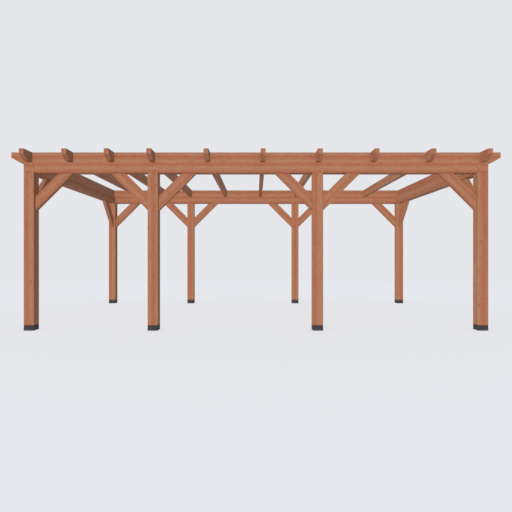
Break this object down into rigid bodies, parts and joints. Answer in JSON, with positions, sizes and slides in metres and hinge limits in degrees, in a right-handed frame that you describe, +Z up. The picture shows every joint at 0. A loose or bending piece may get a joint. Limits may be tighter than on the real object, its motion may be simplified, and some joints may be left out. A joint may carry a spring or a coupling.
{
  "type": "patio cover",
  "caption": "Open timber frame patio cover with square posts on dark feet, braced beams and halved rafters with sloped ends.",
  "frame": {"origin": "on the ground at the middle of the frame, halfway between the rows of posts and halfway between the corner posts", "axes": "+X to the right along the front beam, +Y from the front row to the back row, +Z up"},
  "size_m": [7.11, 4.25, 2.59],
  "materials": {
    "timber": "planed softwood, matt reddish brown stain",
    "post_foot": "matt dark grey"
  },
  "bodies": {
    "root": {"front_post_feet": "post_foot", "front_beam": "timber", "front_post_1": "timber", "front_post_2": "timber", "front_post_3": "timber", "front_post_4": "timber", "front_brace_1_right": "timber", "front_brace_2_left": "timber", "front_brace_2_right": "timber", "front_brace_3_left": "timber", "front_brace_3_right": "timber", "front_brace_4_left": "timber", "back_post_feet": "post_foot", "back_beam": "timber", "back_post_1": "timber", "back_post_2": "timber", "back_post_3": "timber", "back_post_4": "timber", "back_brace_1_right": "timber", "back_brace_2_left": "timber", "back_brace_2_right": "timber", "back_brace_3_left": "timber", "back_brace_3_right": "timber", "back_brace_4_left": "timber", "left_side_beam": "timber", "left_side_brace_front": "timber", "left_side_brace_back": "timber", "right_side_beam": "timber", "right_side_brace_front": "timber", "right_side_brace_back": "timber", "rafter_01": "timber", "rafter_02": "timber", "rafter_03": "timber", "rafter_04": "timber", "rafter_05": "timber", "rafter_06": "timber", "rafter_07": "timber", "rafter_08": "timber", "rafter_09": "timber", "rafter_10": "timber"}
  },
  "joints": []
}
